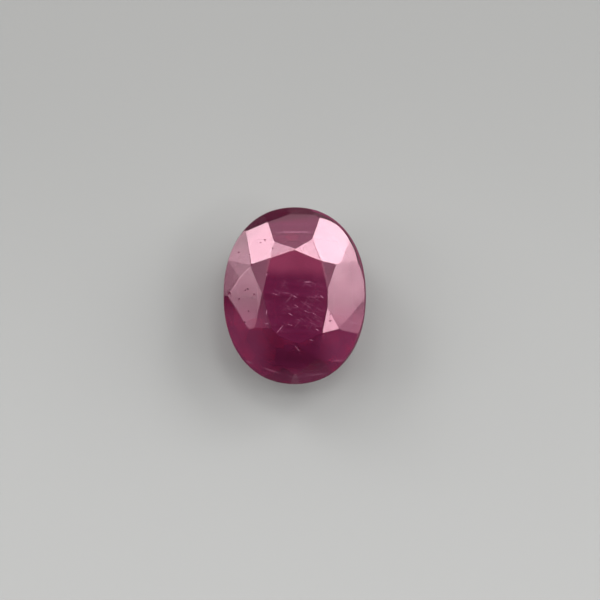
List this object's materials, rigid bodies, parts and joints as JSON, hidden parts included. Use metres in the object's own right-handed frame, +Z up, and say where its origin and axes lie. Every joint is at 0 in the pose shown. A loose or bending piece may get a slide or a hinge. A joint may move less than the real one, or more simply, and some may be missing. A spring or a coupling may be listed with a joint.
{
  "type": "oval cut ruby",
  "caption": "Loose oval ruby in a mixed cut, with a crown of flat facets round a broad table and a stepped pavilion that ends in a flat culet.",
  "frame": {"origin": "centre of the stone's box at the level of its culet, the flat face it sits on", "axes": "+Z up through the table, +Y along the stone's length, +X across its width"},
  "size_m": [0.008, 0.01, 0.0046],
  "materials": {
    "ruby": "polished deep purplish red crystal with silky inclusions"
  },
  "bodies": {
    "root": {"ruby": "ruby"}
  },
  "joints": []
}
